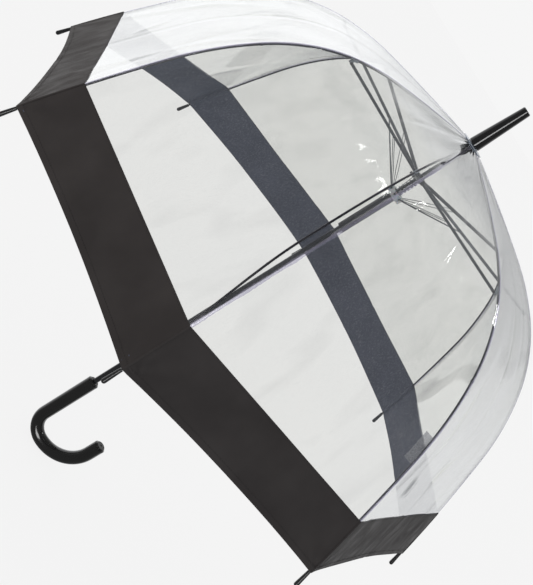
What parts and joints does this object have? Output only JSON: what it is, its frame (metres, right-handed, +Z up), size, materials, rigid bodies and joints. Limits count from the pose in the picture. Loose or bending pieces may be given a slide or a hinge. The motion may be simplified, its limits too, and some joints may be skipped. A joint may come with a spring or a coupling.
{
  "type": "dome umbrella",
  "caption": "Stick umbrella with a deep clear dome canopy, a black hem band, a crook handle and an opening mechanism on a central shaft.",
  "frame": {"origin": "on the shaft's axis, level with the lowest point of the crook; rib 1 lies over the crook, along +X", "axes": "+Z runs up the shaft from the crook to the tip of the end piece; +X points from the shaft to the crook's free end"},
  "size_m": [0.8594, 0.8594, 0.8331],
  "materials": {
    "shaft_paint": "gloss black paint on a steel tube",
    "handle_plastic": "moulded, polished black",
    "ferrule_plastic": "moulded, polished black",
    "notch_plastic": "moulded black nylon with a steel hinge wire",
    "collar_plastic": "moulded dark nylon with a steel hinge wire",
    "runner_plastic": "moulded translucent white plastic with a steel hinge wire",
    "sleeve_metal": "dark grey painted tube",
    "spring_steel": "drawn spring wire",
    "catch_steel": "stamped spring steel",
    "clear_film": "clear soft film, smooth and glossy",
    "black_band": "black coated cloth, slight sheen",
    "rib_wire": "black coated spring wire",
    "tip_plastic": "moulded black cap",
    "stretcher_steel": "dark grey coated channel",
    "strut_wire": "bright drawn wire"
  },
  "bodies": {
    "shaft": {"shaft": "shaft_paint", "handle": "handle_plastic", "ferrule": "ferrule_plastic", "top_notch": "notch_plastic", "canopy_clear": "clear_film", "canopy_band": "black_band"},
    "runner": {"runner": "runner_plastic", "runner_sleeve": "sleeve_metal", "coil_spring": "spring_steel"},
    "floating_collar": {"floating_collar": "collar_plastic"},
    "open_catch": {"open_catch": "catch_steel"},
    "closed_catch": {"closed_catch": "catch_steel"},
    "rib_upper_1": {"rib_upper_1": "rib_wire"},
    "rib_middle_1": {"rib_middle_1": "rib_wire"},
    "rib_lower_1": {"rib_lower_1": "rib_wire", "rib_tip_1": "tip_plastic"},
    "stretcher_1": {"stretcher_1": "stretcher_steel"},
    "strut_1": {"strut_1": "strut_wire"},
    "rib_upper_2": {"rib_upper_2": "rib_wire"},
    "rib_middle_2": {"rib_middle_2": "rib_wire"},
    "rib_lower_2": {"rib_lower_2": "rib_wire", "rib_tip_2": "tip_plastic"},
    "stretcher_2": {"stretcher_2": "stretcher_steel"},
    "strut_2": {"strut_2": "strut_wire"},
    "rib_upper_3": {"rib_upper_3": "rib_wire"},
    "rib_middle_3": {"rib_middle_3": "rib_wire"},
    "rib_lower_3": {"rib_lower_3": "rib_wire", "rib_tip_3": "tip_plastic"},
    "stretcher_3": {"stretcher_3": "stretcher_steel"},
    "strut_3": {"strut_3": "strut_wire"},
    "rib_upper_4": {"rib_upper_4": "rib_wire"},
    "rib_middle_4": {"rib_middle_4": "rib_wire"},
    "rib_lower_4": {"rib_lower_4": "rib_wire", "rib_tip_4": "tip_plastic"},
    "stretcher_4": {"stretcher_4": "stretcher_steel"},
    "strut_4": {"strut_4": "strut_wire"},
    "rib_upper_5": {"rib_upper_5": "rib_wire"},
    "rib_middle_5": {"rib_middle_5": "rib_wire"},
    "rib_lower_5": {"rib_lower_5": "rib_wire", "rib_tip_5": "tip_plastic"},
    "stretcher_5": {"stretcher_5": "stretcher_steel"},
    "strut_5": {"strut_5": "strut_wire"},
    "rib_upper_6": {"rib_upper_6": "rib_wire"},
    "rib_middle_6": {"rib_middle_6": "rib_wire"},
    "rib_lower_6": {"rib_lower_6": "rib_wire", "rib_tip_6": "tip_plastic"},
    "stretcher_6": {"stretcher_6": "stretcher_steel"},
    "strut_6": {"strut_6": "strut_wire"},
    "rib_upper_7": {"rib_upper_7": "rib_wire"},
    "rib_middle_7": {"rib_middle_7": "rib_wire"},
    "rib_lower_7": {"rib_lower_7": "rib_wire", "rib_tip_7": "tip_plastic"},
    "stretcher_7": {"stretcher_7": "stretcher_steel"},
    "strut_7": {"strut_7": "strut_wire"},
    "rib_upper_8": {"rib_upper_8": "rib_wire"},
    "rib_middle_8": {"rib_middle_8": "rib_wire"},
    "rib_lower_8": {"rib_lower_8": "rib_wire", "rib_tip_8": "tip_plastic"},
    "stretcher_8": {"stretcher_8": "stretcher_steel"},
    "strut_8": {"strut_8": "strut_wire"}
  },
  "joints": [
    {"name": "runner_slide", "type": "slide", "parent": "shaft", "child": "runner", "axis": [0, 0, -1], "range_m": [0, 0.32016], "deforming": ["canopy_clear", "canopy_band", "open_catch", "closed_catch"]},
    {"name": "collar_slide", "type": "slide", "parent": "runner", "child": "floating_collar", "axis": [0, 0, -1], "range_m": [0, 0.02839], "deforming": ["coil_spring"]},
    {"name": "open_catch_press", "type": "slide", "parent": "shaft", "child": "open_catch", "axis": [-1, 0, 0], "range_m": [0, 0.0027], "stiffness_N_per_m": 200},
    {"name": "closed_catch_press", "type": "slide", "parent": "shaft", "child": "closed_catch", "axis": [-1, 0, 0], "range_m": [0, 0.0027], "stiffness_N_per_m": 200},
    {"name": "rib_swing_1", "type": "hinge", "parent": "shaft", "child": "rib_upper_1", "pos_m": [0.0085, 0, 0.7535], "axis": [0, 1, 0], "range_deg": [0, 73.99]},
    {"name": "rib_swing_2", "type": "hinge", "parent": "shaft", "child": "rib_upper_2", "pos_m": [0.00601, 0.00601, 0.7535], "axis": [-0.7071, 0.7071, 0], "range_deg": [0, 73.99]},
    {"name": "rib_swing_3", "type": "hinge", "parent": "shaft", "child": "rib_upper_3", "pos_m": [0, 0.0085, 0.7535], "axis": [-1, 0, 0], "range_deg": [0, 73.99]},
    {"name": "rib_swing_4", "type": "hinge", "parent": "shaft", "child": "rib_upper_4", "pos_m": [-0.00601, 0.00601, 0.7535], "axis": [-0.7071, -0.7071, 0], "range_deg": [0, 73.99]},
    {"name": "rib_swing_5", "type": "hinge", "parent": "shaft", "child": "rib_upper_5", "pos_m": [-0.0085, 0, 0.7535], "axis": [0, -1, 0], "range_deg": [0, 73.99]},
    {"name": "rib_swing_6", "type": "hinge", "parent": "shaft", "child": "rib_upper_6", "pos_m": [-0.00601, -0.00601, 0.7535], "axis": [0.7071, -0.7071, 0], "range_deg": [0, 73.99]},
    {"name": "rib_swing_7", "type": "hinge", "parent": "shaft", "child": "rib_upper_7", "pos_m": [0, -0.0085, 0.7535], "axis": [1, 0, 0], "range_deg": [0, 73.99]},
    {"name": "rib_swing_8", "type": "hinge", "parent": "shaft", "child": "rib_upper_8", "pos_m": [0.00601, -0.00601, 0.7535], "axis": [0.7071, 0.7071, 0], "range_deg": [0, 73.99]},
    {"name": "rib_bend_1", "type": "hinge", "parent": "rib_upper_1", "child": "rib_middle_1", "pos_m": [0.22091, 0, 0.70297], "axis": [0, -1, 0], "range_deg": [0, 23.04]},
    {"name": "rib_bend_2", "type": "hinge", "parent": "rib_upper_2", "child": "rib_middle_2", "pos_m": [0.15621, 0.15621, 0.70297], "axis": [0.7071, -0.7071, 0], "range_deg": [0, 23.04]},
    {"name": "rib_bend_3", "type": "hinge", "parent": "rib_upper_3", "child": "rib_middle_3", "pos_m": [0, 0.22091, 0.70297], "axis": [1, 0, 0], "range_deg": [0, 23.04]},
    {"name": "rib_bend_4", "type": "hinge", "parent": "rib_upper_4", "child": "rib_middle_4", "pos_m": [-0.15621, 0.15621, 0.70297], "axis": [0.7071, 0.7071, 0], "range_deg": [0, 23.04]},
    {"name": "rib_bend_5", "type": "hinge", "parent": "rib_upper_5", "child": "rib_middle_5", "pos_m": [-0.22091, 0, 0.70297], "axis": [0, 1, 0], "range_deg": [0, 23.04]},
    {"name": "rib_bend_6", "type": "hinge", "parent": "rib_upper_6", "child": "rib_middle_6", "pos_m": [-0.15621, -0.15621, 0.70297], "axis": [-0.7071, 0.7071, 0], "range_deg": [0, 23.04]},
    {"name": "rib_bend_7", "type": "hinge", "parent": "rib_upper_7", "child": "rib_middle_7", "pos_m": [0, -0.22091, 0.70297], "axis": [-1, 0, 0], "range_deg": [0, 23.04]},
    {"name": "rib_bend_8", "type": "hinge", "parent": "rib_upper_8", "child": "rib_middle_8", "pos_m": [0.15621, -0.15621, 0.70297], "axis": [-0.7071, -0.7071, 0], "range_deg": [0, 23.04]},
    {"name": "rib_sweep_1", "type": "hinge", "parent": "rib_middle_1", "child": "rib_lower_1", "pos_m": [0.30575, 0, 0.63609], "axis": [0, -1, 0], "range_deg": [0, 25.49]},
    {"name": "rib_sweep_2", "type": "hinge", "parent": "rib_middle_2", "child": "rib_lower_2", "pos_m": [0.2162, 0.2162, 0.63609], "axis": [0.7071, -0.7071, 0], "range_deg": [0, 25.49]},
    {"name": "rib_sweep_3", "type": "hinge", "parent": "rib_middle_3", "child": "rib_lower_3", "pos_m": [0, 0.30575, 0.63609], "axis": [1, 0, 0], "range_deg": [0, 25.49]},
    {"name": "rib_sweep_4", "type": "hinge", "parent": "rib_middle_4", "child": "rib_lower_4", "pos_m": [-0.2162, 0.2162, 0.63609], "axis": [0.7071, 0.7071, 0], "range_deg": [0, 25.49]},
    {"name": "rib_sweep_5", "type": "hinge", "parent": "rib_middle_5", "child": "rib_lower_5", "pos_m": [-0.30575, 0, 0.63609], "axis": [0, 1, 0], "range_deg": [0, 25.49]},
    {"name": "rib_sweep_6", "type": "hinge", "parent": "rib_middle_6", "child": "rib_lower_6", "pos_m": [-0.2162, -0.2162, 0.63609], "axis": [-0.7071, 0.7071, 0], "range_deg": [0, 25.49]},
    {"name": "rib_sweep_7", "type": "hinge", "parent": "rib_middle_7", "child": "rib_lower_7", "pos_m": [0, -0.30575, 0.63609], "axis": [-1, 0, 0], "range_deg": [0, 25.49]},
    {"name": "rib_sweep_8", "type": "hinge", "parent": "rib_middle_8", "child": "rib_lower_8", "pos_m": [0.2162, -0.2162, 0.63609], "axis": [-0.7071, -0.7071, 0], "range_deg": [0, 25.49]},
    {"name": "stretcher_swing_1", "type": "hinge", "parent": "floating_collar", "child": "stretcher_1", "pos_m": [0.0075, 0, 0.678], "axis": [0, -1, 0], "range_deg": [0, 82.29]},
    {"name": "stretcher_swing_2", "type": "hinge", "parent": "floating_collar", "child": "stretcher_2", "pos_m": [0.0053, 0.0053, 0.678], "axis": [0.7071, -0.7071, 0], "range_deg": [0, 82.29]},
    {"name": "stretcher_swing_3", "type": "hinge", "parent": "floating_collar", "child": "stretcher_3", "pos_m": [0, 0.0075, 0.678], "axis": [1, 0, 0], "range_deg": [0, 82.29]},
    {"name": "stretcher_swing_4", "type": "hinge", "parent": "floating_collar", "child": "stretcher_4", "pos_m": [-0.0053, 0.0053, 0.678], "axis": [0.7071, 0.7071, 0], "range_deg": [0, 82.29]},
    {"name": "stretcher_swing_5", "type": "hinge", "parent": "floating_collar", "child": "stretcher_5", "pos_m": [-0.0075, 0, 0.678], "axis": [0, 1, 0], "range_deg": [0, 82.29]},
    {"name": "stretcher_swing_6", "type": "hinge", "parent": "floating_collar", "child": "stretcher_6", "pos_m": [-0.0053, -0.0053, 0.678], "axis": [-0.7071, 0.7071, 0], "range_deg": [0, 82.29]},
    {"name": "stretcher_swing_7", "type": "hinge", "parent": "floating_collar", "child": "stretcher_7", "pos_m": [0, -0.0075, 0.678], "axis": [-1, 0, 0], "range_deg": [0, 82.29]},
    {"name": "stretcher_swing_8", "type": "hinge", "parent": "floating_collar", "child": "stretcher_8", "pos_m": [0.0053, -0.0053, 0.678], "axis": [-0.7071, -0.7071, 0], "range_deg": [0, 82.29]},
    {"name": "strut_swing_1", "type": "hinge", "parent": "runner", "child": "strut_1", "pos_m": [0.0115, 0, 0.642], "axis": [0, -1, 0], "range_deg": [0, 60.63]},
    {"name": "strut_swing_2", "type": "hinge", "parent": "runner", "child": "strut_2", "pos_m": [0.00813, 0.00813, 0.642], "axis": [0.7071, -0.7071, 0], "range_deg": [0, 60.63]},
    {"name": "strut_swing_3", "type": "hinge", "parent": "runner", "child": "strut_3", "pos_m": [0, 0.0115, 0.642], "axis": [1, 0, 0], "range_deg": [0, 60.63]},
    {"name": "strut_swing_4", "type": "hinge", "parent": "runner", "child": "strut_4", "pos_m": [-0.00813, 0.00813, 0.642], "axis": [0.7071, 0.7071, 0], "range_deg": [0, 60.63]},
    {"name": "strut_swing_5", "type": "hinge", "parent": "runner", "child": "strut_5", "pos_m": [-0.0115, 0, 0.642], "axis": [0, 1, 0], "range_deg": [0, 60.63]},
    {"name": "strut_swing_6", "type": "hinge", "parent": "runner", "child": "strut_6", "pos_m": [-0.00813, -0.00813, 0.642], "axis": [-0.7071, 0.7071, 0], "range_deg": [0, 60.63]},
    {"name": "strut_swing_7", "type": "hinge", "parent": "runner", "child": "strut_7", "pos_m": [0, -0.0115, 0.642], "axis": [-1, 0, 0], "range_deg": [0, 60.63]},
    {"name": "strut_swing_8", "type": "hinge", "parent": "runner", "child": "strut_8", "pos_m": [0.00813, -0.00813, 0.642], "axis": [-0.7071, -0.7071, 0], "range_deg": [0, 60.63]}
  ],
  "couplings": [
    {"joint": "collar_slide", "follows": "runner_slide", "ratio": 0.088685},
    {"joint": "rib_swing_1", "follows": "runner_slide", "rad_per_m": 4.0337},
    {"joint": "rib_swing_2", "follows": "runner_slide", "rad_per_m": 4.0337},
    {"joint": "rib_swing_3", "follows": "runner_slide", "rad_per_m": 4.0337},
    {"joint": "rib_swing_4", "follows": "runner_slide", "rad_per_m": 4.0337},
    {"joint": "rib_swing_5", "follows": "runner_slide", "rad_per_m": 4.0337},
    {"joint": "rib_swing_6", "follows": "runner_slide", "rad_per_m": 4.0337},
    {"joint": "rib_swing_7", "follows": "runner_slide", "rad_per_m": 4.0337},
    {"joint": "rib_swing_8", "follows": "runner_slide", "rad_per_m": 4.0337},
    {"joint": "rib_bend_1", "follows": "runner_slide", "rad_per_m": 1.256},
    {"joint": "rib_bend_2", "follows": "runner_slide", "rad_per_m": 1.256},
    {"joint": "rib_bend_3", "follows": "runner_slide", "rad_per_m": 1.256},
    {"joint": "rib_bend_4", "follows": "runner_slide", "rad_per_m": 1.256},
    {"joint": "rib_bend_5", "follows": "runner_slide", "rad_per_m": 1.256},
    {"joint": "rib_bend_6", "follows": "runner_slide", "rad_per_m": 1.256},
    {"joint": "rib_bend_7", "follows": "runner_slide", "rad_per_m": 1.256},
    {"joint": "rib_bend_8", "follows": "runner_slide", "rad_per_m": 1.256},
    {"joint": "rib_sweep_1", "follows": "runner_slide", "rad_per_m": 1.3898},
    {"joint": "rib_sweep_2", "follows": "runner_slide", "rad_per_m": 1.3898},
    {"joint": "rib_sweep_3", "follows": "runner_slide", "rad_per_m": 1.3898},
    {"joint": "rib_sweep_4", "follows": "runner_slide", "rad_per_m": 1.3898},
    {"joint": "rib_sweep_5", "follows": "runner_slide", "rad_per_m": 1.3898},
    {"joint": "rib_sweep_6", "follows": "runner_slide", "rad_per_m": 1.3898},
    {"joint": "rib_sweep_7", "follows": "runner_slide", "rad_per_m": 1.3898},
    {"joint": "rib_sweep_8", "follows": "runner_slide", "rad_per_m": 1.3898},
    {"joint": "stretcher_swing_1", "follows": "runner_slide", "rad_per_m": 4.4861},
    {"joint": "stretcher_swing_2", "follows": "runner_slide", "rad_per_m": 4.4861},
    {"joint": "stretcher_swing_3", "follows": "runner_slide", "rad_per_m": 4.4861},
    {"joint": "stretcher_swing_4", "follows": "runner_slide", "rad_per_m": 4.4861},
    {"joint": "stretcher_swing_5", "follows": "runner_slide", "rad_per_m": 4.4861},
    {"joint": "stretcher_swing_6", "follows": "runner_slide", "rad_per_m": 4.4861},
    {"joint": "stretcher_swing_7", "follows": "runner_slide", "rad_per_m": 4.4861},
    {"joint": "stretcher_swing_8", "follows": "runner_slide", "rad_per_m": 4.4861},
    {"joint": "strut_swing_1", "follows": "runner_slide", "rad_per_m": 3.3054},
    {"joint": "strut_swing_2", "follows": "runner_slide", "rad_per_m": 3.3054},
    {"joint": "strut_swing_3", "follows": "runner_slide", "rad_per_m": 3.3054},
    {"joint": "strut_swing_4", "follows": "runner_slide", "rad_per_m": 3.3054},
    {"joint": "strut_swing_5", "follows": "runner_slide", "rad_per_m": 3.3054},
    {"joint": "strut_swing_6", "follows": "runner_slide", "rad_per_m": 3.3054},
    {"joint": "strut_swing_7", "follows": "runner_slide", "rad_per_m": 3.3054},
    {"joint": "strut_swing_8", "follows": "runner_slide", "rad_per_m": 3.3054}
  ]
}
